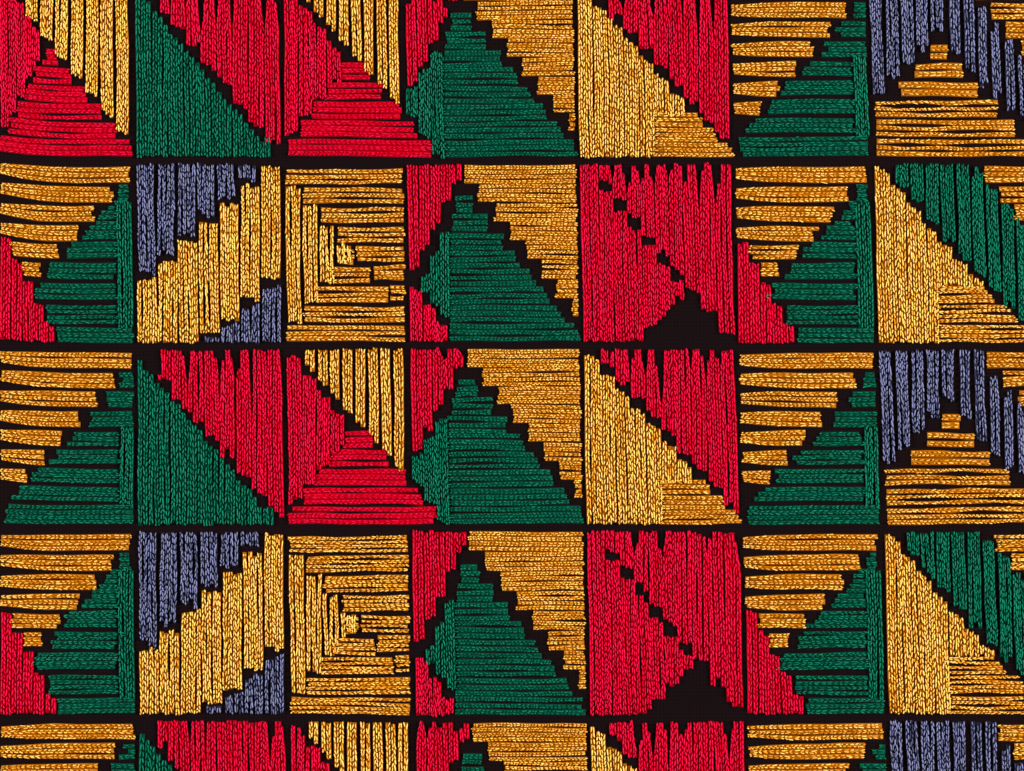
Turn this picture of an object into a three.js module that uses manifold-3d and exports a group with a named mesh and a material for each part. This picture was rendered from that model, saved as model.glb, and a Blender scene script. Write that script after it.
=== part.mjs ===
// A cut length of kente cloth, in millimetres, +Z up, lying flat with its stitched face up.
// Plain black cloth carries blocks of stepped chain stitching, which stands proud of it in courses.
import * as THREE from "three";
import Module from "manifold-3d";

const GROUND = 1.2; // thickness of the black cloth
const RISE = 1.0; // height of the stitching above it
const ROOT = 0.6; // depth of the stitching in the cloth
const MARGIN = 7.2; // bare cloth left round the blocks
const LINE_UP = 1.3; // bare line between two columns of blocks
const LINE_ACROSS = 2.2; // bare line between two rows of blocks
const COLUMN_WIDTHS = [39.9, 43.8, 35.7, 51.0, 45.6, 40.8, 51.6]; // left to right
const ROW_HEIGHTS = [53.4, 54.9, 52.5, 53.4, 52.8]; // bottom to top
const DIVISIONS = 9; // steps of the chart across a block, and up it
const EDGE_STEPS = 12; // straight lengths along each cut edge
const HAIRLINE = 0.06; // gaps between courses narrower than twice this are closed
const FINEST = 0.02; // smallest step kept in an outline
const LEAN = 0.034; // how far the columns lean at the right edge, mm for each mm of height
const PULL = 5; // how far the top left corner is drawn up
const PULL_REACH = 30; // how far in from the left edge that shows
const WAVER = 0.3; // unevenness of the rows
const WAVER_LENGTH = 34;

const sum = (sizes) => sizes.reduce((total, size) => total + size, 0);
const WIDTH = 2 * MARGIN + sum(COLUMN_WIDTHS) + LINE_UP * (COLUMN_WIDTHS.length - 1);
const LENGTH = 2 * MARGIN + sum(ROW_HEIGHTS) + LINE_ACROSS * (ROW_HEIGHTS.length - 1);

// One row is a field of courses side by side. Courses that run "up" are set out from the block's left,
// and courses that run "across" from its bottom. Each course starts and stops a step further on.
// Columns: run, at, pitch, gap, count, start, start step, stop, stop step, follow.
// follow is the part of those steps by which the end of each course slopes.
const CHART = {
  bands: [
    ["across", 2.05, 1.0, 0.17, 7, 0, 0, 1.8, 1.18, 0],
    ["across", 0, 1.08, 0.06, 1, 0.35, 0, 9, 0, 0],
    ["across", 1.2, 0.96, 0.2, 4, 0.95, 1.33, 8.1, 0, 0.4],
    ["across", 5.06, 0.99, 0.16, 3, 6.2, 1.0, 9, 0, 0.3],
    ["up", 8.1, 0.9, 0, 1, 1.0, 0, 5.1, 0, 0],
  ],
  footedBands: [
    ["across", 3.29, 0.93, 0.2, 2, 1.55, -0.75, 2.75, 1.22, 0],
    ["across", 5.1, 0.985, 0.16, 4, 0, 0, 5.2, 1.18, 0],
    ["up", 0, 0.74, 0, 5, 0, 0, 5.05, -1.03, 0.2],
    ["across", 0, 0.8, 0, 1, 3.85, 0, 9, 0, 0],
    ["across", 0.92, 1.1, 0.1, 1, 3.2, 0, 8.0, 0, 0],
    ["across", 2.17, 1.04, 0.18, 3, 2.4, 1.07, 8.0, 0, 0.4],
    ["across", 5.2, 0.98, 0, 2, 5.95, 1.25, 8.0, 0, 0.85],
    ["across", 7.1, 0.9, 0, 1, 8.05, 0, 8.75, 0, 0],
    ["up", 7.95, 1.05, 0, 1, 0.75, 0, 7.15, 0, 0],
  ],
  greenSlope: [
    ["up", 0, 1.0, 0, 8, 0, 0, 8.1, -1.0, 0.85],
    ["up", 7.95, 0.45, 0, 1, 0, 0, 0.95, 0, 0],
    ["up", 1.15, 0.98, 0, 8, 7.55, -0.98, 9, 0, 0.35],
  ],
  goldSlope: [
    ["up", 0, 0.9, 0, 5, 0, 0, 8.6, -0.9, 0.5],
    ["up", 4.5, 0.9, 0, 2, 2.1, 0, 4.1, -0.9, 0.5],
    ["across", 0, 0.76, 0, 3, 4.3, 0, 9, -0.85, 0.5],
    ["up", 0.95, 0.895, 0, 9, 8.25, -0.9, 9, 0, 0.3],
  ],
  cornerSlope: [
    ["up", 0, 0.8, 0, 4, 0, 0, 8.75, -0.98, 0.6],
    ["up", 3.2, 0.8, 0, 3, 2.82, 0, 4.95, -0.83, 0.5],
    ["across", 0, 0.98, 0.06, 3, 3.0, 0, 8.2, -1.17, 0.6],
    ["up", 1.1, 0.8, 0.1, 5, 7.9, -0.916, 9, 0, 0.3],
    ["up", 5.1, 0.76, 0.12, 5, 3.4, -0.8, 8.7, -0.9, 0.4],
    ["across", 5.15, 0.96, 0.1, 4, 8.1, -0.77, 9, 0, 0],
  ],
  mitre: [
    ["up", 0, 1.08, 0, 4, 1.1, 0.93, 8.6, -0.95, 0.4],
    ["across", 0, 0.98, 0.07, 5, 0.12, 1.04, 11.15, -1.18, 0.1],
    ["up", 1.36, 0.955, 0.2, 8, 8.0, -0.73, 9, 0, 0.7],
  ],
  cornerMitre: [
    ["up", 0, 0.55, 0, 5, 1.15, 0.87, 8.9, -0.62, 0.5],
    ["across", 0, 0.92, 0.06, 6, 0, 0.6, 9, -1.02, 0.2],
    ["up", 1.7, 1.04, 0.18, 7, 6.9, -0.95, 9, 0, 0.3],
  ],
  goldMitre: [
    ["across", 2.1, 0.98, 0.14, 7, 7.95, -1.32, 9, 0, 0],
    ["up", 0, 1.28, 0.12, 4, 1.0, 1.0, 7.85, -0.98, 0],
    ["across", 0, 0.98, 0.12, 2, 0, 1.28, 9, 0, 0],
    ["across", 1.96, 0.98, 0.12, 3, 2.3, 0.95, 7.75, -1.3, 0],
  ],
  mountain: [
    ["up", 0.05, 0.56, 0, 5, 3.8, 1.05, 9, 0, 0.2],
    ["up", 0, 0.66, 0, 3, 2.08, -1.0, 3.55, 0.93, 0.3],
    ["across", 0, 0.93, 0, 5, 1.92, 0, 9, -0.78, 0.5],
    ["across", 4.6, 0.945, 0, 3, 1.95, 0.25, 5.1, -0.78, 0],
    ["across", 1.3, 0.962, 0, 8, 8.62, -0.795, 9, 0, 0],
  ],
  footedMountain: [
    ["up", 0, 0.575, 0, 5, 3.65, 1.12, 9, 0, 0.2],
    ["up", 0.05, 0.66, 0, 3, 0, 0, 2.75, -0.93, 0.3],
    ["up", 0.62, 0.52, 0, 3, 2.5, -0.6, 3.4, 1.1, 0.3],
    ["across", 0, 0.93, 0, 5, 2.12, 0, 8.9, -0.78, 0.5],
    ["across", 4.6, 0.945, 0, 3, 2.14, 0.2, 5.0, -0.78, 0],
    ["across", 1.25, 0.969, 0, 8, 8.68, -0.81, 9, 0, 0],
  ],
  notchedRed: [
    ["up", 0, 1.08, 0, 1, 0, 0, 9, 0, 0],
    ["up", 1.06, 0.84, 0, 2, 0, 0, 7.6, -0.92, 0.2],
    ["up", 2.72, 0.845, 0, 4, 0.05, 0.68, 5.76, -0.92, 0.25],
    ["up", 1.06, 0.84, 0, 6, 8.14, -0.905, 9, 0, 0.3],
    ["up", 6.09, 0.97, 0, 3, 2.7, -1.13, 9, 0, 0.15],
  ],
  ridge: [
    ["up", 0.05, 1.25, 0.15, 6, 3.5, 0.95, 9, 0, -0.2],
    ["up", 0, 1.29, 0.05, 3, 0, 0, 3.2, 0.95, 0],
    ["up", 3.87, 1.29, 0.05, 1, 0.5, 0, 6.05, 0, 0],
    ["up", 5.16, 1.28, 0.08, 3, 1.25, 0.98, 7.0, 0.95, -0.2],
    ["up", 4.15, 1.05, 0.1, 1, 0, 0, 0.36, 0, 0],
    ["up", 5.2, 1.27, 0.1, 3, 0, 0, 0.95, 0.92, 0.4],
  ],
  peak: [
    ["up", 0, 0.81, 0.14, 5, 3.2, 0.8, 9, 0, 0],
    ["up", 4.2, 0.75, 0.16, 2, 5.4, -1.0, 9, 0, 0],
    ["up", 5.72, 0.68, 0.2, 5, 3.5, -0.5, 7.7, -0.88, 0],
    ["across", 0, 1.0, 0.1, 3, 0.15, 0, 8.4, -0.9, 0],
    ["across", 3.05, 0.93, 0.14, 3, 1.5, 0.84, 5.62, -0.76, 0],
    ["across", 5.1, 0.97, 0.1, 4, 8.0, -0.79, 9, 0, 0],
  ],
};

const PLAIN_ROW = ["bands", "greenSlope", "mitre", "mountain", "goldSlope", "bands", "peak"];
const FOOTED_ROW = [
  "footedBands",
  "ridge",
  "goldMitre",
  "footedMountain",
  "notchedRed",
  "footedBands",
  "cornerSlope",
];
const TOP_ROW = ["cornerMitre", ...PLAIN_ROW.slice(1)];
const LAYOUT = [PLAIN_ROW, FOOTED_ROW, PLAIN_ROW, FOOTED_ROW, TOP_ROW]; // bottom to top

// Where a point of the chart comes to lie: the columns lean, the rows waver, and a corner is drawn up.
function lie([x, y]) {
  const middle = y - LENGTH / 2;
  const pull = PULL * Math.max(0, 1 - x / PULL_REACH) ** 2 * (y / LENGTH) ** 2;
  const waver = WAVER * Math.sin(x / WAVER_LENGTH) * Math.sin(y / WAVER_LENGTH);
  return [x - (LEAN * middle * x) / WIDTH, y + pull + waver];
}

// Start of each block along one side of the cloth.
function starts(sizes, line) {
  return sizes.map((_, i) => MARGIN + sum(sizes.slice(0, i)) + line * i);
}

// Leaves out points that repeat or lie on a straight side.
function corners(points) {
  const apart = points.filter(([x, y], i) => {
    const [lastX, lastY] = points.at(i - 1);
    return Math.hypot(x - lastX, y - lastY) > 1e-6;
  });
  return apart.filter(([x, y], i) => {
    const [lastX, lastY] = apart.at(i - 1);
    const [nextX, nextY] = apart[(i + 1) % apart.length];
    return Math.abs((x - lastX) * (nextY - y) - (y - lastY) * (nextX - x)) > 1e-6;
  });
}

// Outlines of one row of the chart: one for each course, or a single stepped one where no gap parts them.
function outlines([run, at, pitch, gap, count, start, startStep, stop, stopStep, follow]) {
  const startSlope = (follow * startStep) / 2;
  const stopSlope = (follow * stopStep) / 2;
  const courses = Array.from({ length: count }, (_, i) => ({
    near: at + i * pitch,
    far: at + (i + 1) * pitch - gap,
    start: start + i * startStep,
    stop: stop + i * stopStep,
  }));
  const fields = gap > 0 ? courses.map((course) => [course]) : [courses];
  return fields.map((field) => {
    const first = field.flatMap(({ near, far, start }) => [
      [near, start - startSlope],
      [far, start + startSlope],
    ]);
    const last = field.flatMap(({ near, far, stop }) => [
      [near, stop - stopSlope],
      [far, stop + stopSlope],
    ]);
    const round = corners([...first, ...last.reverse()]);
    return run === "up" ? round : round.map(([over, along]) => [along, over]).reverse();
  });
}

function cutLength() {
  const steps = Array.from({ length: EDGE_STEPS }, (_, i) => i / EDGE_STEPS);
  const outline = [
    ...steps.map((t) => [t * WIDTH, 0]),
    ...steps.map((t) => [WIDTH, t * LENGTH]),
    ...steps.map((t) => [(1 - t) * WIDTH, LENGTH]),
    ...steps.map((t) => [0, (1 - t) * LENGTH]),
  ];
  return new wasm.CrossSection([outline.map(lie)]).extrude(GROUND);
}

// Every course of the chart, laid out on the cloth and joined to those it meets.
function stitching() {
  const lefts = starts(COLUMN_WIDTHS, LINE_UP);
  const bottoms = starts(ROW_HEIGHTS, LINE_ACROSS);
  const plans = LAYOUT.flatMap((blocks, row) =>
    blocks.flatMap((block, column) =>
      CHART[block].flatMap(outlines).map((outline) =>
        outline.map(([u, v]) =>
          lie([
            lefts[column] + (u * COLUMN_WIDTHS[column]) / DIVISIONS,
            bottoms[row] + (v * ROW_HEIGHTS[row]) / DIVISIONS,
          ]),
        ),
      ),
    ),
  );
  return new wasm.CrossSection(plans, "NonZero")
    .offset(HAIRLINE, "Miter")
    .offset(-HAIRLINE, "Miter")
    .simplify(FINEST)
    .extrude(ROOT + RISE)
    .translate([0, 0, GROUND - ROOT]);
}

function clothGeometry() {
  const mesh = cutLength().add(stitching()).getMesh();
  const geometry = new THREE.BufferGeometry();
  geometry.setAttribute("position", new THREE.BufferAttribute(mesh.vertProperties, 3));
  geometry.setIndex(new THREE.BufferAttribute(mesh.triVerts, 1));
  geometry.computeBoundingBox();
  const middle = geometry.boundingBox.getCenter(new THREE.Vector3());
  return geometry.translate(-middle.x, -middle.y, 0);
}

const wasm = await Module();
wasm.setup();

const cloth = new THREE.Mesh(
  clothGeometry(),
  new THREE.MeshStandardMaterial({ color: 0x1b1413, roughness: 0.9 }),
);
cloth.name = "cloth";

const group = new THREE.Group();
group.add(cloth);

export default group;
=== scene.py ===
"""Kente cloth: a cut length of plain black cloth worked all over in chain stitch, in stepped blocks of
gold, red, green and lavender-blue. It lies flat, stitched face up, and is seen straight from above."""

from collections import defaultdict, namedtuple

import bpy
import numpy as np
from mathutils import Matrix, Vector


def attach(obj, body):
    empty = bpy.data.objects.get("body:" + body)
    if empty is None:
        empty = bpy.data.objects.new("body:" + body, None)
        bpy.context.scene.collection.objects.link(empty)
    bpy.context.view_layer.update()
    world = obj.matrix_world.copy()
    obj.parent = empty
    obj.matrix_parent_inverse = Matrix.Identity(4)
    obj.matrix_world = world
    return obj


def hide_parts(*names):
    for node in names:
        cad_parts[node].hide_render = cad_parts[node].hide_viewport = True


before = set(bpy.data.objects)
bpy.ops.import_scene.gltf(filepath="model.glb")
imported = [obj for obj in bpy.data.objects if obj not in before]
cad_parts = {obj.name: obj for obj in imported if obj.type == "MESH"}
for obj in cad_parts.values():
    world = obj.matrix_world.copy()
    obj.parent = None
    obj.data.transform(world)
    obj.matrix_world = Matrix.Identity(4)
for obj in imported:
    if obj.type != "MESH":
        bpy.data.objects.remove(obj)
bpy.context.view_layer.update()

MM = 0.001
FULL_TURN = 6.3  # in radians, rounded: the range that the phase of a wave is drawn from
rng = np.random.default_rng(20)

# The cloth and its blocks, in millimetres, the same as the solid's.
GROUND = 1.2
RISE = 1.0
MARGIN = 7.2
LINE_UP = 1.3
LINE_ACROSS = 2.2
COLUMN_WIDTHS = np.array([39.9, 43.8, 35.7, 51.0, 45.6, 40.8, 51.6])
ROW_HEIGHTS = np.array([53.4, 54.9, 52.5, 53.4, 52.8])
DIVISIONS = 9
LEAN = 0.034
PULL = 5
PULL_REACH = 30
WAVER = 0.3
WAVER_LENGTH = 34
WIDTH = 2 * MARGIN + COLUMN_WIDTHS.sum() + LINE_UP * (len(COLUMN_WIDTHS) - 1)
LENGTH = 2 * MARGIN + ROW_HEIGHTS.sum() + LINE_ACROSS * (len(ROW_HEIGHTS) - 1)
MIDDLE_X = (WIDTH + LEAN * LENGTH / 2) / 2
MIDDLE_Y = (LENGTH + PULL) / 2

# The black ground, in millimetres.
GROUND_SQUARES = (66, 58)
DIP = 0.04
DIP_LENGTHS = (5.3, 4.7)
UNDERSIDE = 0.1  # how far the underside lies above the floor, so that dips don't reach it
CUT_EDGE = 0.25
SMOOTH_BELOW = 40  # degrees between faces

# Rows of chain stitch, in millimetres. Every stitch has two legs of thread, over an underlay.
ROW_WIDTH = 1.46
NARROWEST_ROW = 0.75
STITCH = 1.7
ACROSS_STITCH = 1.45
MITRE_STITCH = 1.5
SHORT_STITCH = 1.12
HALF_THREAD = 0.262
HALF_DEPTH = 0.34
SLANT = 0.19  # how far a leg leans outwards, as a share of its stitch's length
APART = {"up": 0.5, "across": 0.43}  # a leg's place, as a share of the way from a row's middle to its edge
OVERLAP = {"up": 0.08, "across": -0.06}  # how far a leg reaches past its stitch, as a share of its length
LEG_SIDES = 3
LEG_RINGS = 3
LEG_FOOT = 0.2
LEG_ARCH = 0.42
ARCH_FROM = 0.12  # the stretch of a half wave that a leg's arch follows
ARCH_TO = 0.92
UNDERLAY = 0.22
UNDERLAY_SUNK = 0.15
UNDERLAY_SET_IN = 0.15
UNDERLAY_SHOULDER = 0.06  # as a share of the row's width
UNDERLAY_SECTIONS = 6
UNDERLAY_CORNERS = 4

# The painted shade of the thread: 0 is painted shade deep in a fold, MIDDLE_SHADE is its own colour and 1 is
# a painted highlight.
MIDDLE_SHADE = 0.6
RUN_TONE_AND_SIDE_LIGHT = {"up": 0.98, "across": 0.84}  # painted light: rows that run up are painted lighter, as the side lights fall on their flanks
# Painted light on each leg: a highlight along its top, and shade down its sides and at its tips, where they
# tuck in.
PAINTED_TOP_HIGHLIGHT = 0.26
PAINTED_SIDE_SHADE = 0.28
PAINTED_TIP_SHADE = 0.45
TIP_FROM = 0.9  # as a share of the way from a leg's middle to its end
# The underlay lies under the loops and is painted deep in shade.
UNDERLAY_SHADE = 0.2
LIGHT_LIFT = 0.12  # millimetres that a lighter leg lies higher, for a whole step of shade

# How unevenly the rows are worked. A pair is the range that a value is drawn from.
UNEVEN_ROWS = 0.12  # millimetres that the line between two rows strays
EVEN_ENDS = 0.2  # millimetres that rows end before or beyond one another along a block's edge
NEAR_EDGE = 0.2  # divisions within which a course ends on the block's edge
COURSE_SWAY = 0.16
COURSE_SWAY_LENGTH = 9
EDGE_SWAY = 0.07
EDGE_SWAY_LENGTH = 2.9
SHORTEST_ROW = 0.6  # in stitches
ROW_STITCHES = (0.86, 1.18)  # the length of a row's stitches, as a share of the chart's
STITCH_SPREAD = 0.22
SHORTEST_STITCH = 0.5
FIRST_STITCH = (0.5, 1)
OVERRUN = 0.2  # millimetres that a leg may pass the end of its row
STAGGER = 0.5  # stitches by which one leg of a row runs before or behind the other
SLIP = 0.1
THREAD_SPREAD = (0.82, 1.15)
ROW_TONE_SPREAD = 0.04
LEG_TONE_SPREAD = 0.15
TONE_WAVE = 0.06
TONE_WAVE_LENGTHS = (2, 6)

# Slits between rows, in millimetres, and how far along a row they reach, as a share of it.
HAIRLINE = 0.16
NARROW_SLIT = 0.3
WIDE_SLIT = 0.4
WIDER_WHEN_PARTED = 0.6
SLIT_REACH = (0.4, 1.3)
SLIT_OPEN = 1.4  # above 1, a slit stays fully open around its middle
SLIT_CLOSING = (0.7, 0.6)  # the middle and the swing of the wave by which rows touch again
SLIT_CLOSING_LENGTH = 3.7

# Notches between courses at their top, and the narrowing of a course at its start, in millimetres.
NOTCH_WIDTHS = (1.0, 3.6)
NOTCH_DEPTHS = (0.2, 1)  # as a share of the deepest
SHALLOWEST_NOTCH = 1
NOTCH_SHARE = 0.65
NOTCH_CURVE = 0.7
WIDE_NOTCH = 1.2
SHORT_SHARE = 0.6  # the share of rows beside a wide notch that end early
ENDS_EARLY = (0.45, 2.25)  # as a share of the notch's width
TAPER = 0.34
TAPER_REACH = 13
TAPER_CURVE = 1.5
TAPER_ROOT = 0.6  # the line that a course narrows to, as a share of its width

# The photograph's frame: the size of a pixel and the frame's centre on the chart, in millimetres.
PHOTO_PIXEL = 0.3
PHOTO_WIDTH = 1024
PHOTO_CENTRE = (160.8, 161.6)
CAMERA_HEIGHT = 1100
SENSOR_WIDTH = 36
FAR_CLIP = 20  # metres

# The studio, in metres and watts.
FLOOR_SIZE = 4
LIGHT_SIZE = 0.8
LEFT_LIGHT = (-1.6, 0.16, 0.96)
RIGHT_LIGHT = (1.6, 0.24, 0.96)
LEFT_POWER = 50
RIGHT_POWER = 58
BACKDROP_STRENGTH = 0.15

# Textures, in millimetres. The weave is drawn a little coarser than fine cotton, so that it shows.
FIBRE = 0.25
THREAD_SPACING = 0.55
RELIEF = 0.1
WAVE_RATE = 20  # radians that a wave texture runs through in one unit, at scale 1

# One field of courses side by side. Courses that run up are set out from the block's left, and courses that
# run across from its bottom. Each course starts and stops a step further on.
# follow: how much of that step the rows inside a course share out among themselves.
# parted: the share of neighbouring rows that stand apart, so that black cloth shows as a slit between them.
# Above 1, all of them do, and the slits are wider.
# ragged: the depth in millimetres of the deepest notch between two courses at their top.
# taper: how much a course narrows towards its start.  stitch: the length of its stitches in millimetres.
# loose: by how much in millimetres the rows of a course end before or beyond one another.
# row_width: how wide its rows are in millimetres, before they are fitted to the course.
Field = namedtuple(
    "Field",
    "thread run at pitch gap count start start_step stop stop_step "
    "follow parted ragged taper stitch loose row_width",
    defaults=(0, 0.3, 0, 0, STITCH, 0.25, ROW_WIDTH),
)

# Ways of working that several fields share.
GOLD_BAND = dict(parted=0.3, stitch=ACROSS_STITCH, loose=0.45)
GOLD_SPIRAL = dict(parted=1, stitch=ACROSS_STITCH)
GOLD_PEAK = dict(stitch=ACROSS_STITCH, row_width=1.9)
GOLD_MOUNTAIN = dict(parted=0.4, stitch=SHORT_STITCH)
GREEN_MOUNTAIN = dict(parted=0.9, stitch=SHORT_STITCH, row_width=1.75)
RED_MITRE = dict(stitch=MITRE_STITCH, row_width=1.62, loose=0.5)

CHART = {
    "bands": [
        Field("gold", "across", 2.05, 1.0, 0.17, 7, 0, 0, 1.8, 1.18, taper=TAPER, **GOLD_BAND),
        Field("green", "across", 0, 1.08, 0.06, 1, 0.35, 0, 9, 0),
        Field("green", "across", 1.2, 0.96, 0.2, 4, 0.95, 1.33, 8.1, 0, follow=0.4, loose=0.8),
        Field("green", "across", 5.06, 0.99, 0.16, 3, 6.2, 1.0, 9, 0, follow=0.3, loose=0.6),
        Field("green", "up", 8.1, 0.9, 0, 1, 1.0, 0, 5.1, 0, parted=0.7),
    ],
    "footed_bands": [
        Field("gold", "across", 3.29, 0.93, 0.2, 2, 1.55, -0.75, 2.75, 1.22, **GOLD_BAND),
        Field("gold", "across", 5.1, 0.985, 0.16, 4, 0, 0, 5.2, 1.18, taper=TAPER, **GOLD_BAND),
        Field("red", "up", 0, 0.74, 0, 5, 0, 0, 5.05, -1.03, follow=0.2, parted=0.15, loose=0.45),
        Field("green", "across", 0, 0.8, 0, 1, 3.85, 0, 9, 0),
        Field("green", "across", 0.92, 1.1, 0.1, 1, 3.2, 0, 8.0, 0, parted=0.8),
        Field("green", "across", 2.17, 1.04, 0.18, 3, 2.4, 1.07, 8.0, 0, follow=0.4, loose=0.8),
        Field("green", "across", 5.2, 0.98, 0, 2, 5.95, 1.25, 8.0, 0, follow=0.85, loose=0.6),
        Field("green", "across", 7.1, 0.9, 0, 1, 8.05, 0, 8.75, 0),
        Field("green", "up", 7.95, 1.05, 0, 1, 0.75, 0, 7.15, 0, parted=0.6),
    ],
    "green_slope": [
        Field("green", "up", 0, 1.0, 0, 8, 0, 0, 8.1, -1.0, follow=0.85, parted=0.25, loose=0.4),
        Field("green", "up", 7.95, 0.45, 0, 1, 0, 0, 0.95, 0),
        Field(
            "red", "up", 1.15, 0.98, 0, 8, 7.55, -0.98, 9, 0,
            follow=0.35, parted=0.5, ragged=14, loose=0.9,
        ),
    ],
    "gold_slope": [
        Field("gold", "up", 0, 0.9, 0, 5, 0, 0, 8.6, -0.9, follow=0.5, parted=0.2, loose=0.45),
        Field("gold", "up", 4.5, 0.9, 0, 2, 2.1, 0, 4.1, -0.9, follow=0.5, parted=0.1),
        Field(
            "gold", "across", 0, 0.76, 0, 3, 4.3, 0, 9, -0.85,
            follow=0.5, parted=0.1, stitch=ACROSS_STITCH,
        ),
        Field(
            "red", "up", 0.95, 0.895, 0, 9, 8.25, -0.9, 9, 0,
            follow=0.3, parted=0.4, ragged=15, loose=0.9,
        ),
    ],
    "corner_slope": [
        Field("gold", "up", 0, 0.8, 0, 4, 0, 0, 8.75, -0.98, follow=0.6, parted=0.15),
        Field("gold", "up", 3.2, 0.8, 0, 3, 2.82, 0, 4.95, -0.83, follow=0.5, parted=0.1),
        Field(
            "gold", "across", 0, 0.98, 0.06, 3, 3.0, 0, 8.2, -1.17,
            follow=0.6, parted=0.9, stitch=ACROSS_STITCH,
        ),
        Field("green", "up", 1.1, 0.8, 0.1, 5, 7.9, -0.916, 9, 0, follow=0.3, parted=0.45, loose=0.7),
        Field("green", "up", 5.1, 0.76, 0.12, 5, 3.4, -0.8, 8.7, -0.9, follow=0.4, parted=0.4, loose=0.7),
        Field("gold", "across", 5.15, 0.96, 0.1, 4, 8.1, -0.77, 9, 0, parted=0.5),
    ],
    "mitre": [
        Field("red", "up", 0, 1.08, 0, 4, 1.1, 0.93, 8.6, -0.95, follow=0.4, parted=0.5, loose=0.6),
        Field(
            "red", "across", 0, 0.98, 0.07, 5, 0.12, 1.04, 11.15, -1.18,
            follow=0.1, parted=0.6, **RED_MITRE,
        ),
        Field("gold", "up", 1.36, 0.955, 0.2, 8, 8.0, -0.73, 9, 0, follow=0.7, parted=0.3),
    ],
    "corner_mitre": [
        Field("red", "up", 0, 0.55, 0, 5, 1.15, 0.87, 8.9, -0.62, follow=0.5, parted=0.3, loose=0.6),
        Field("red", "across", 0, 0.92, 0.06, 6, 0, 0.6, 9, -1.02, follow=0.2, parted=0.65, **RED_MITRE),
        Field("gold", "up", 1.7, 1.04, 0.18, 7, 6.9, -0.95, 9, 0, follow=0.3, parted=0.3),
    ],
    "gold_mitre": [
        Field("gold", "across", 2.1, 0.98, 0.14, 7, 7.95, -1.32, 9, 0, **GOLD_SPIRAL),
        Field("gold", "up", 0, 1.28, 0.12, 4, 1.0, 1.0, 7.85, -0.98, parted=1, loose=0.4),
        Field("gold", "across", 0, 0.98, 0.12, 2, 0, 1.28, 9, 0, **GOLD_SPIRAL),
        Field("gold", "across", 1.96, 0.98, 0.12, 3, 2.3, 0.95, 7.75, -1.3, **GOLD_SPIRAL),
    ],
    "mountain": [
        Field("red", "up", 0.05, 0.56, 0, 5, 3.8, 1.05, 9, 0, follow=0.2, parted=0.2, ragged=3, loose=0.5),
        Field("green", "up", 0, 0.66, 0, 3, 2.08, -1.0, 3.55, 0.93, follow=0.3, parted=0.3),
        Field("green", "across", 0, 0.93, 0, 5, 1.92, 0, 9, -0.78, follow=0.5, **GREEN_MOUNTAIN),
        Field("green", "across", 4.6, 0.945, 0, 3, 1.95, 0.25, 5.1, -0.78, **GREEN_MOUNTAIN),
        Field("gold", "across", 1.3, 0.962, 0, 8, 8.62, -0.795, 9, 0, **GOLD_MOUNTAIN),
    ],
    "footed_mountain": [
        Field("red", "up", 0, 0.575, 0, 5, 3.65, 1.12, 9, 0, follow=0.2, parted=0.2, loose=0.5),
        Field("red", "up", 0.05, 0.66, 0, 3, 0, 0, 2.75, -0.93, follow=0.3, parted=0.1, loose=0.5),
        Field("green", "up", 0.62, 0.52, 0, 3, 2.5, -0.6, 3.4, 1.1, follow=0.3, parted=0.3),
        Field("green", "across", 0, 0.93, 0, 5, 2.12, 0, 8.9, -0.78, follow=0.5, **GREEN_MOUNTAIN),
        Field("green", "across", 4.6, 0.945, 0, 3, 2.14, 0.2, 5.0, -0.78, **GREEN_MOUNTAIN),
        Field("gold", "across", 1.25, 0.969, 0, 8, 8.68, -0.81, 9, 0, **GOLD_MOUNTAIN),
    ],
    "notched_red": [
        Field("red", "up", 0, 1.08, 0, 1, 0, 0, 9, 0, parted=0.3),
        Field("red", "up", 1.06, 0.84, 0, 2, 0, 0, 7.6, -0.92, follow=0.2, parted=0.3, loose=0.5),
        Field("red", "up", 2.72, 0.845, 0, 4, 0.05, 0.68, 5.76, -0.92, follow=0.25, parted=0.3, loose=0.7),
        Field(
            "red", "up", 1.06, 0.84, 0, 6, 8.14, -0.905, 9, 0,
            follow=0.3, parted=0.45, ragged=8, loose=0.6,
        ),
        Field(
            "red", "up", 6.09, 0.97, 0, 3, 2.7, -1.13, 9, 0,
            follow=0.15, parted=0.5, ragged=11, loose=0.7,
        ),
    ],
    "ridge": [
        Field("blue", "up", 0.05, 1.25, 0.15, 6, 3.5, 0.95, 9, 0, follow=-0.2, parted=1, loose=0.6),
        Field("gold", "up", 0, 1.29, 0.05, 3, 0, 0, 3.2, 0.95, parted=0.45, loose=0.5),
        Field("gold", "up", 3.87, 1.29, 0.05, 1, 0.5, 0, 6.05, 0, parted=0.6),
        Field("gold", "up", 5.16, 1.28, 0.08, 3, 1.25, 0.98, 7.0, 0.95, follow=-0.2, parted=0.55, loose=0.5),
        Field("blue", "up", 4.15, 1.05, 0.1, 1, 0, 0, 0.36, 0),
        Field("blue", "up", 5.2, 1.27, 0.1, 3, 0, 0, 0.95, 0.92, follow=0.4, parted=0.9),
    ],
    "peak": [
        Field("blue", "up", 0, 0.81, 0.14, 5, 3.2, 0.8, 9, 0, parted=0.7, loose=0.8),
        Field("blue", "up", 4.2, 0.75, 0.16, 2, 5.4, -1.0, 9, 0, parted=0.7, loose=0.6),
        Field("blue", "up", 5.72, 0.68, 0.2, 5, 3.5, -0.5, 7.7, -0.88, parted=0.5, loose=0.8),
        Field("gold", "across", 0, 1.0, 0.1, 3, 0.15, 0, 8.4, -0.9, parted=2, **GOLD_PEAK),
        Field("gold", "across", 3.05, 0.93, 0.14, 3, 1.5, 0.84, 5.62, -0.76, parted=0.8, **GOLD_PEAK),
        Field("gold", "across", 5.1, 0.97, 0.1, 4, 8.0, -0.79, 9, 0, parted=0.6),
    ],
}

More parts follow.
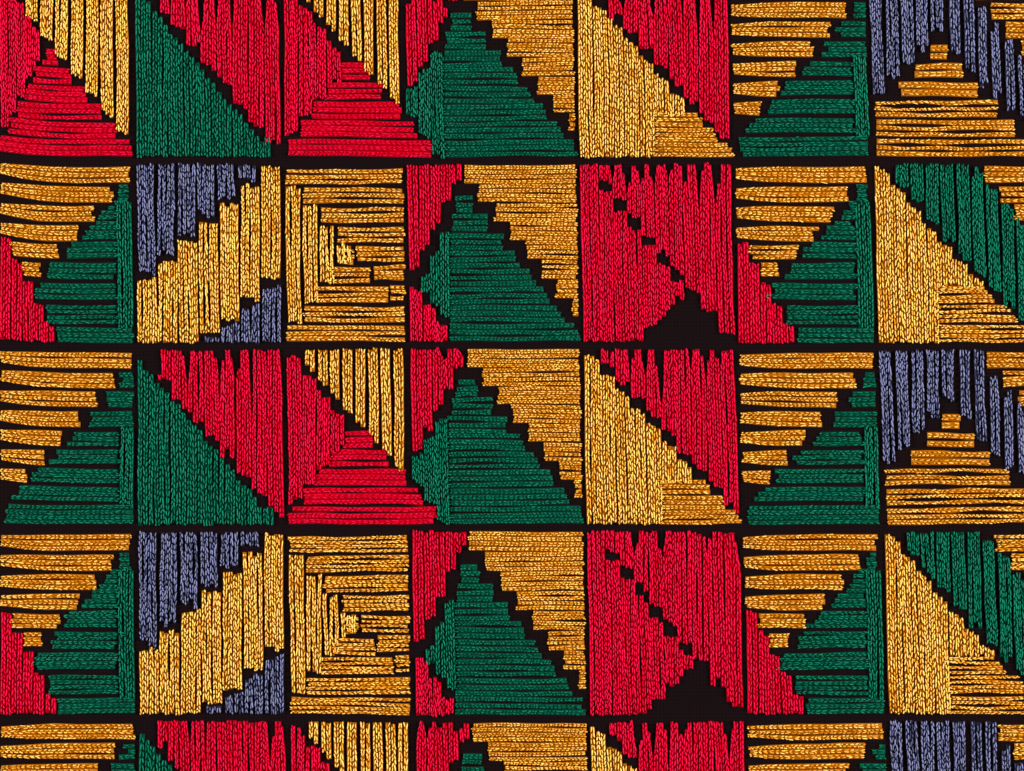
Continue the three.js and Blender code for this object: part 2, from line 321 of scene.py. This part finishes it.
# The rows of blocks, from the bottom of the cloth to its top.
PLAIN_ROW = ["bands", "green_slope", "mitre", "mountain", "gold_slope", "bands", "peak"]
FOOTED_ROW = [
    "footed_bands",
    "ridge",
    "gold_mitre",
    "footed_mountain",
    "notched_red",
    "footed_bands",
    "corner_slope",
]
TOP_ROW = ["corner_mitre", *PLAIN_ROW[1:]]
LAYOUT = [PLAIN_ROW, FOOTED_ROW, PLAIN_ROW, FOOTED_ROW, TOP_ROW]

Row = namedtuple("Row", "begin end lower upper")


def lie(x, y):
    """Where a point of the chart comes to lie, in millimetres from the cloth's middle."""
    pull = PULL * np.maximum(0, 1 - x / PULL_REACH) ** 2 * (y / LENGTH) ** 2
    waver = WAVER * np.sin(x / WAVER_LENGTH) * np.sin(y / WAVER_LENGTH)
    leaned = x - LEAN * (y - LENGTH / 2) * x / WIDTH
    return leaned - MIDDLE_X, y + pull + waver - MIDDLE_Y


def starts(sizes, line):
    """Where the blocks of a row or a column start, with a bare line between them."""
    return MARGIN + np.cumsum(sizes) - sizes + line * np.arange(len(sizes))


def any_phase():
    return rng.uniform(0, FULL_TURN)


def slit(parted, begin, end):
    """How wide two neighbouring rows stand apart, as a function of the place along them."""
    widest = WIDE_SLIT + WIDER_WHEN_PARTED * parted
    width = rng.uniform(NARROW_SLIT, widest) if rng.random() < parted else rng.uniform(0, HAIRLINE)
    middle = rng.uniform(begin, end)
    reach = (end - begin) * rng.uniform(*SLIT_REACH)
    phase = any_phase()
    level, swing = SLIT_CLOSING
    return lambda along: (
        width
        * np.clip(SLIT_OPEN * (1 - np.abs(along - middle) / reach), 0, 1)
        * np.clip(level + swing * np.sin(along / SLIT_CLOSING_LENGTH + phase), 0, 1)
    )


def notch(ragged, top):
    """A wedge of bare cloth between two courses, widest at their top."""
    depth = SHALLOWEST_NOTCH + ragged * rng.uniform(*NOTCH_DEPTHS)
    width = rng.uniform(*NOTCH_WIDTHS) if ragged and rng.random() < NOTCH_SHARE else 0
    return lambda along: width * np.clip(1 - (top - along) / depth, 0, 1) ** NOTCH_CURVE


def course_edge(place, side, sway, *openings):
    """The edge of a row: its place, swaying a little, and drawn aside by half of each opening there."""
    phase = any_phase()
    return lambda along: (
        place
        + COURSE_SWAY * np.sin(along / COURSE_SWAY_LENGTH + sway)
        + EDGE_SWAY * np.sin(along / EDGE_SWAY_LENGTH + phase)
        + side * sum(opening(along) for opening in openings) / 2
    )


def tapered(edge, field, near, far, begin):
    """The edge of a row in a course that narrows towards its start."""
    root = near + TAPER_ROOT * (far - near)
    return lambda along: root + (edge(along) - root) * (
        1 - field.taper * np.clip(1 - (along - begin) / TAPER_REACH, 0, 1) ** TAPER_CURVE
    )


def looseness(field):
    """How far the rows of a field end before or beyond one another, at their start and at their stop."""
    start_even = field.start_step == 0 and field.start < NEAR_EDGE
    stop_even = field.stop_step == 0 and field.stop > DIVISIONS - NEAR_EDGE
    return [EVEN_ENDS if even else field.loose for even in (start_even, stop_even)]


def rows_of_course(field, near, far, ends, steps, notches):
    """The rows of chain stitch that fill one course, each with its ends and its two edges."""
    start, stop = ends
    count = max(1, round((far - near) / field.row_width))
    marks = near + (far - near) * np.arange(count + 1) / count
    marks[1:-1] += rng.uniform(-UNEVEN_ROWS, UNEVEN_ROWS, count - 1)
    start_loose, stop_loose = looseness(field)
    sway = any_phase()
    openings = [[slit(field.parted, start, stop)] for _ in marks]
    openings[0].append(notches[0])
    openings[-1].append(notches[1])
    for i in range(count):
        share = (i + 0.5) / count - 0.5
        begin = start + field.follow * steps[0] * share + rng.normal(0, start_loose)
        end = stop + field.follow * steps[1] * share + rng.normal(0, stop_loose)
        beside = notches[0] if i == 0 else notches[1] if i == count - 1 else None
        if beside and beside(stop) > WIDE_NOTCH and rng.random() < SHORT_SHARE:
            end -= beside(stop) * rng.uniform(*ENDS_EARLY)
        if end - begin < SHORTEST_ROW * field.stitch:
            continue
        lower = course_edge(marks[i], 1, sway, *openings[i])
        upper = course_edge(marks[i + 1], -1, sway, *openings[i + 1])
        if field.taper:
            lower, upper = (tapered(edge, field, near, far, start) for edge in (lower, upper))
        yield Row(begin, end, lower, upper)


def rows_of_field(field, unit_over, unit_along):
    """All rows of one field, in millimetres from the block's corner."""
    notches = [notch(field.ragged, field.stop * unit_along) for _ in range(field.count + 1)]
    steps = field.start_step * unit_along, field.stop_step * unit_along
    for i in range(field.count):
        near = (field.at + i * field.pitch) * unit_over
        far = (field.at + (i + 1) * field.pitch - field.gap) * unit_over
        ends = field.start * unit_along + i * steps[0], field.stop * unit_along + i * steps[1]
        yield from rows_of_course(field, near, far, ends, steps, notches[i : i + 2])


def across_row(row, along):
    """The middle of a row and half its width at places along it."""
    lower, upper = row.lower(along), row.upper(along)
    return (lower + upper) / 2, np.maximum(upper - lower, NARROWEST_ROW) / 2


def legs_of_row(row, run, stitch):
    """Both legs of every stitch in a row. A leg is where it rises (over, along), where it dips (over, along),
    half its width and its shade."""
    count = max(1, round((row.end - row.begin) / (stitch * rng.uniform(*ROW_STITCHES))))
    lengths = np.maximum(rng.normal(1, STITCH_SPREAD, count), SHORTEST_STITCH)
    lengths[0] *= rng.uniform(*FIRST_STITCH)
    marks = row.begin + (row.end - row.begin) * np.concatenate([[0], np.cumsum(lengths)]) / lengths.sum()
    way = rng.choice([-1, 1])
    first, last = (marks[:-1], marks[1:]) if way > 0 else (marks[1:], marks[:-1])
    # the row's painted light by its run, with a tone that differs at random from row to row
    tone = RUN_TONE_AND_SIDE_LIGHT[run] + rng.normal(0, ROW_TONE_SPREAD)
    tone = tone + TONE_WAVE * np.sin(first / rng.uniform(*TONE_WAVE_LENGTHS) + any_phase())
    slant = SLANT * stitch / 2
    legs = []
    for side in (-1, 1):
        slip = rng.normal(0, SLIP, (4, count))
        shift = rng.uniform(-STAGGER, STAGGER)
        rise = first - (last - first) * (OVERLAP[run] + slip[0] + shift)
        dip = last + (last - first) * (OVERLAP[run] + slip[1] - shift)
        rise, dip = (np.clip(end, row.begin - OVERRUN, row.end + OVERRUN) for end in (rise, dip))
        half = HALF_THREAD * rng.uniform(*THREAD_SPREAD, count)
        middle, reach = across_row(row, rise)
        rise_over = middle + side * (reach * APART[run] - slant + slip[2])
        middle, reach = across_row(row, dip)
        dip_over = middle + side * (reach * APART[run] + slant + slip[3])
        shade = tone + rng.normal(0, LEG_TONE_SPREAD, count)
        legs.append(np.stack([rise_over, rise, dip_over, dip, half, shade], axis=1))
    return np.concatenate(legs)


def underlay_of_row(row):
    """The close-packed thread under a row's loops: sections along it, as (lower edge, upper edge, along)."""
    along = np.linspace(row.begin + UNDERLAY_SET_IN, row.end - UNDERLAY_SET_IN, UNDERLAY_SECTIONS)
    middle, reach = across_row(row, along)
    return np.stack([middle - reach, middle + reach, along], axis=1)


def work_block(name, left, bottom, width, height):
    """Yields the thread, the legs and the underlay of each row of a block, laid out on the cloth."""
    across, up = width / DIVISIONS, height / DIVISIONS
    for field in CHART[name]:
        units = (across, up) if field.run == "up" else (up, across)
        place = (
            (lambda over, along: lie(left + over, bottom + along))
            if field.run == "up"
            else (lambda over, along: lie(left + along, bottom + over))
        )
        for row in rows_of_field(field, *units):
            legs = legs_of_row(row, field.run, field.stitch)
            rise, dip = place(legs[:, 0], legs[:, 1]), place(legs[:, 2], legs[:, 3])
            lower, upper, along = underlay_of_row(row).T
            sides = np.stack([*place(lower, along), *place(upper, along)], axis=1)
            if field.run == "across":
                sides = sides[:, [2, 3, 0, 1]]
            yield field.thread, np.stack([*rise, *dip, legs[:, 4], legs[:, 5]], axis=1), sides


def work_cloth():
    """All legs and underlays of the stitching, by thread and row of blocks."""
    legs, underlays = defaultdict(list), defaultdict(list)
    lefts, bottoms = starts(COLUMN_WIDTHS, LINE_UP), starts(ROW_HEIGHTS, LINE_ACROSS)
    for row, blocks in enumerate(LAYOUT):
        for column, name in enumerate(blocks):
            place = lefts[column], bottoms[row], COLUMN_WIDTHS[column], ROW_HEIGHTS[row]
            for thread, row_legs, row_underlay in work_block(name, *place):
                legs[thread, row].append(row_legs)
                underlays[thread, row].append(row_underlay)
    return {key: (np.concatenate(legs[key]), np.stack(underlays[key])) for key in legs}


def deselect():
    bpy.ops.object.select_all(action="DESELECT")


def leg_shape():
    """One leg of a stitch, as points and faces: a short rounded length of thread along X, from -1 to 1."""
    deselect()
    bpy.ops.mesh.primitive_uv_sphere_add(
        segments=LEG_SIDES, ring_count=LEG_RINGS, radius=1, rotation=(0, -np.pi / 2, 0)
    )
    bpy.ops.object.transform_apply(location=False, rotation=True, scale=False)
    leg = bpy.context.object
    points = np.array([v.co for v in leg.data.vertices])
    faces = [list(f.vertices) for f in leg.data.polygons]
    bpy.data.objects.remove(leg, do_unlink=True)
    return points, faces


def leg_shades(points):
    """How much lighter each point of a leg is painted: a painted highlight on its top, painted shade at its
    sides and its tips.
    """
    along, over, height = points.T
    tips = np.abs(along) > TIP_FROM
    return PAINTED_TOP_HIGHLIGHT * height - PAINTED_SIDE_SHADE * np.abs(over) - PAINTED_TIP_SHADE * tips


def underlay_faces():
    """The faces of one underlay: four sides from section to section, and its two ends."""
    corners = np.arange(UNDERLAY_CORNERS)
    last = UNDERLAY_CORNERS * (UNDERLAY_SECTIONS - 1)
    faces = [list(corners[[0, 3, 2, 1]])]
    for first in range(0, last, UNDERLAY_CORNERS):
        for side in corners:
            after = (side + 1) % UNDERLAY_CORNERS
            near = [first + side, first + after]
            faces.append([*near, near[1] + UNDERLAY_CORNERS, near[0] + UNDERLAY_CORNERS])
    return [*faces, list(last + corners)]


def place_legs(legs, points):
    """Every leg at its place: it rises out of the loop before it, arches over and dips into the cloth."""
    rise, dip, half, shade = legs[:, 0:2], legs[:, 2:4], legs[:, 4], legs[:, 5]
    way = dip - rise
    side = np.stack([-way[:, 1], way[:, 0]], axis=1) / np.linalg.norm(way, axis=1)[:, None]
    share = (points[:, 0] + 1) / 2
    bulge = half[:, None] * points[None, :, 1]
    flat = rise[:, None] + share[None, :, None] * way[:, None] + side[:, None] * bulge[:, :, None]
    arch = GROUND + LEG_FOOT + LEG_ARCH * np.sin(np.pi * (ARCH_FROM + (ARCH_TO - ARCH_FROM) * share))
    lift = LIGHT_LIFT * np.clip(shade - MIDDLE_SHADE, -MIDDLE_SHADE, MIDDLE_SHADE)[:, None]
    height = np.minimum(arch[None] + lift + HALF_DEPTH * points[None, :, 2], GROUND + RISE)
    return np.concatenate([flat, height[:, :, None]], axis=2)


def place_underlays(sides):
    """Every underlay at its place: low, flat on top and sloping at its sides."""
    lower, upper = sides[:, :, 0:2], sides[:, :, 2:4]
    shoulder = UNDERLAY_SHOULDER * (upper - lower)
    flat = np.stack([lower, lower + shoulder, upper - shoulder, upper], axis=2)
    heights = GROUND + np.array([-UNDERLAY_SUNK, UNDERLAY, UNDERLAY, -UNDERLAY_SUNK])
    height = np.broadcast_to(heights[None, None, :, None], (*flat.shape[:3], 1))
    return np.concatenate([flat, height], axis=3).reshape(len(sides), -1, 3)


def joined_piece(name, stamps, material):
    """One mesh of many small shapes. A stamp is the places of a shape's points, its faces and its shades."""
    points, loops, totals, shades = [], [], [], []
    first = 0
    for places, faces, shade in stamps:
        copies, size = places.shape[:2]
        order = np.concatenate(faces)
        points.append(places.reshape(-1, 3) * MM)
        loops.append((first + order[None] + size * np.arange(copies)[:, None]).ravel())
        totals.append(np.tile([len(face) for face in faces], copies))
        shades.append(shade.ravel())
        first += copies * size
    points, loops, totals = np.concatenate(points), np.concatenate(loops), np.concatenate(totals)
    mesh = bpy.data.meshes.new(name)
    mesh.vertices.add(len(points))
    mesh.vertices.foreach_set("co", points.ravel())
    mesh.loops.add(len(loops))
    mesh.loops.foreach_set("vertex_index", loops)
    mesh.polygons.add(len(totals))
    mesh.polygons.foreach_set("loop_start", np.cumsum(totals) - totals)
    mesh.polygons.foreach_set("use_smooth", np.ones(len(totals), bool))
    mesh.attributes.new("shade", "FLOAT", "POINT").data.foreach_set("value", np.concatenate(shades))
    mesh.update(calc_edges=True)
    mesh.materials.append(material)
    piece = bpy.data.objects.new(name, mesh)
    bpy.context.collection.objects.link(piece)
    return piece


def stitching(name, leg, legs, underlays, material):
    """All stitches of one thread in one row of blocks: the legs over their underlays."""
    points, faces = leg
    # the underlays are painted in shade
    underlay_shades = np.full((len(underlays), UNDERLAY_CORNERS * UNDERLAY_SECTIONS), UNDERLAY_SHADE)
    stamps = [
        (place_legs(legs, points), faces, legs[:, 5, None] + leg_shades(points)),
        (place_underlays(underlays), underlay_faces(), underlay_shades),
    ]
    return joined_piece(name, stamps, material)


def black_ground(material):
    """The plain cloth under the stitching, cut straight and lying flat."""
    deselect()
    squares_x, squares_y = GROUND_SQUARES
    bpy.ops.mesh.primitive_grid_add(x_subdivisions=squares_x, y_subdivisions=squares_y, size=1)
    piece = bpy.context.object
    piece.name = piece.data.name = "black_cloth"
    spots = np.array([v.co for v in piece.data.vertices])
    x, y = lie((spots[:, 0] + 0.5) * WIDTH, (spots[:, 1] + 0.5) * LENGTH)
    dips = DIP * np.sin(x / DIP_LENGTHS[0]) * np.sin(y / DIP_LENGTHS[1]) - DIP
    place = np.stack([x, y, GROUND + dips], axis=1) * MM
    piece.data.vertices.foreach_set("co", place.ravel())
    piece.data.update()
    thickness = piece.modifiers.new("thickness", "SOLIDIFY")
    thickness.thickness = (GROUND - UNDERSIDE) * MM
    thickness.offset = -1
    bpy.ops.object.modifier_apply(modifier="thickness")
    edge = piece.modifiers.new("cut edge", "BEVEL")
    edge.width = CUT_EDGE * MM
    edge.segments = 2
    edge.limit_method = "ANGLE"
    bpy.ops.object.modifier_apply(modifier="cut edge")
    bpy.ops.object.shade_smooth_by_angle(angle=np.radians(SMOOTH_BELOW))
    piece.data.materials.append(material)
    return piece


def linear(colour):
    """An sRGB hex colour as linear RGBA."""
    parts = np.array([int(colour[i : i + 2], 16) for i in (1, 3, 5)]) / 255
    return (*np.where(parts <= 0.04045, parts / 12.92, ((parts + 0.055) / 1.055) ** 2.4), 1)


def add_node(tree, kind, inputs=None, **settings):
    """A node with its settings; an input is a value, or the output socket that it is linked to."""
    made = tree.nodes.new(kind)
    for name, value in settings.items():
        setattr(made, name, value)
    for name, value in (inputs or {}).items():
        if isinstance(value, bpy.types.NodeSocket):
            tree.links.new(value, made.inputs[name])
        else:
            made.inputs[name].default_value = value
    return made


def new_material(name):
    material = bpy.data.materials.new(name)
    material.use_nodes = True
    material.node_tree.nodes.clear()
    return material


def thread_material(name, painted_shade_colour, body, highlight_and_gloss_tint, gloss):
    """Mercerised cotton thread: smooth and a little shiny, with painted shade where it tucks in and a painted
    highlight where it arches.
    """
    material = new_material(name)
    tree = material.node_tree
    shade = add_node(tree, "ShaderNodeAttribute", attribute_name="shade")
    colour = add_node(tree, "ShaderNodeValToRGB", {"Fac": shade.outputs["Fac"]})
    # the ramp runs from painted shade, through the thread's own colour, to a painted highlight
    colour.color_ramp.elements.new(MIDDLE_SHADE)
    for stop, shown in zip(colour.color_ramp.elements, (painted_shade_colour, body, highlight_and_gloss_tint)):
        stop.color = linear(shown)
    spots = add_node(tree, "ShaderNodeTexCoord")
    fibres = add_node(
        tree,
        "ShaderNodeTexNoise",
        {"Vector": spots.outputs["Object"], "Scale": 1 / (FIBRE * MM), "Detail": 2.0},
    )
    bump = add_node(
        tree,
        "ShaderNodeBump",
        {"Height": fibres.outputs["Fac"], "Strength": 0.1, "Distance": RELIEF * MM},
    )
    shader = add_node(
        tree,
        "ShaderNodeBsdfPrincipled",
        {
            "Base Color": colour.outputs["Color"],
            "Roughness": 0.42,
            "Specular IOR Level": gloss,
            "Specular Tint": linear(highlight_and_gloss_tint),
            "Normal": bump.outputs["Normal"],
        },
    )
    add_node(tree, "ShaderNodeOutputMaterial", {"Surface": shader.outputs["BSDF"]})
    return material


def cloth_material():
    """Plain-woven black cotton: matt, with a fine over-and-under weave that only just shows."""
    material = new_material("black_woven_cotton")
    tree = material.node_tree
    spots = add_node(tree, "ShaderNodeTexCoord")
    warp, weft = (
        add_node(
            tree,
            "ShaderNodeTexWave",
            {
                "Vector": spots.outputs["Object"],
                "Scale": 1 / (WAVE_RATE * THREAD_SPACING * MM) * np.pi,
                "Distortion": 0.6,
            },
            bands_direction=direction,
        )
        for direction in "XY"
    )
    weave = add_node(
        tree,
        "ShaderNodeMath",
        {0: warp.outputs["Fac"], 1: weft.outputs["Fac"]},
        operation="MULTIPLY",
    )
    colour = add_node(
        tree,
        "ShaderNodeMix",
        {0: weave.outputs[0], 6: linear("#0f0607"), 7: linear("#140a0b")},
        data_type="RGBA",
    )
    bump = add_node(
        tree,
        "ShaderNodeBump",
        {"Height": weave.outputs[0], "Strength": 0.3, "Distance": RELIEF * MM},
    )
    shader = add_node(
        tree,
        "ShaderNodeBsdfPrincipled",
        {
            "Base Color": colour.outputs[2],
            "Roughness": 1.0,
            "Specular IOR Level": 0.05,
            "Normal": bump.outputs["Normal"],
        },
    )
    add_node(tree, "ShaderNodeOutputMaterial", {"Surface": shader.outputs["BSDF"]})
    return material


def floor_material():
    """Pale matt board."""
    material = new_material("pale_matt_board")
    shader = add_node(
        material.node_tree,
        "ShaderNodeBsdfPrincipled",
        {"Base Color": linear("#b4b0aa"), "Roughness": 0.8},
    )
    add_node(material.node_tree, "ShaderNodeOutputMaterial", {"Surface": shader.outputs["BSDF"]})
    return material


def pale_floor():
    deselect()
    bpy.ops.mesh.primitive_plane_add(size=FLOOR_SIZE)
    floor = bpy.context.object
    floor.name = "floor"
    floor.data.materials.append(floor_material())


def soft_light(name, place, power):
    """A square soft light that faces the cloth's middle."""
    light = bpy.data.lights.new(name, "AREA")
    light.size = LIGHT_SIZE
    light.energy = power
    lamp = bpy.data.objects.new(name, light)
    lamp.location = place
    lamp.rotation_euler = (-Vector(place)).to_track_quat("-Z", "Y").to_euler()
    bpy.context.collection.objects.link(lamp)


def studio():
    """A pale floor, a soft light from either side and a dim white surround."""
    pale_floor()
    soft_light("left_light", LEFT_LIGHT, LEFT_POWER)
    soft_light("right_light", RIGHT_LIGHT, RIGHT_POWER)
    world = bpy.data.worlds.new("studio")
    world.use_nodes = True
    backdrop = world.node_tree.nodes["Background"]
    backdrop.inputs["Color"].default_value = (1, 1, 1, 1)
    backdrop.inputs["Strength"].default_value = BACKDROP_STRENGTH
    bpy.context.scene.world = world
    bpy.context.scene.view_settings.view_transform = "Standard"


def camera_above():
    """Straight above the cloth, framing the same stretch of it as the photograph."""
    data = bpy.data.cameras.new("camera")
    data.sensor_width = SENSOR_WIDTH
    data.lens = SENSOR_WIDTH * (CAMERA_HEIGHT - GROUND - RISE) / (PHOTO_WIDTH * PHOTO_PIXEL)
    data.clip_end = FAR_CLIP
    camera = bpy.data.objects.new("camera", data)
    x, y = PHOTO_CENTRE
    camera.location = ((x - MIDDLE_X) * MM, (y - MIDDLE_Y) * MM, CAMERA_HEIGHT * MM)
    bpy.context.collection.objects.link(camera)
    bpy.context.scene.camera = camera


camera_above()
studio()

# For each thread: its painted shade, its own colour, its painted highlight (also the tint of its gloss), and
# its gloss.
THREADS = {
    "gold": thread_material("gold_mercerised_thread", "#661a00", "#e08c0c", "#ffd86a", 0.25),
    "red": thread_material("red_mercerised_thread", "#9c000d", "#d30226", "#e21644", 0.1),
    "green": thread_material("green_mercerised_thread", "#052c1e", "#055a43", "#177a5c", 0.08),
    "blue": thread_material("lavender_mercerised_thread", "#12101c", "#34364f", "#8082a8", 0.25),
}

cloth = black_ground(cloth_material())
leg = leg_shape()
pieces = []
for (thread, row), (legs, underlays) in work_cloth().items():
    piece = stitching(f"{thread}_stitching_{row + 1}", leg, legs, underlays, THREADS[thread])
    pieces.append(piece)
for piece in [cloth, *pieces]:
    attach(piece, "root")
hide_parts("cloth")
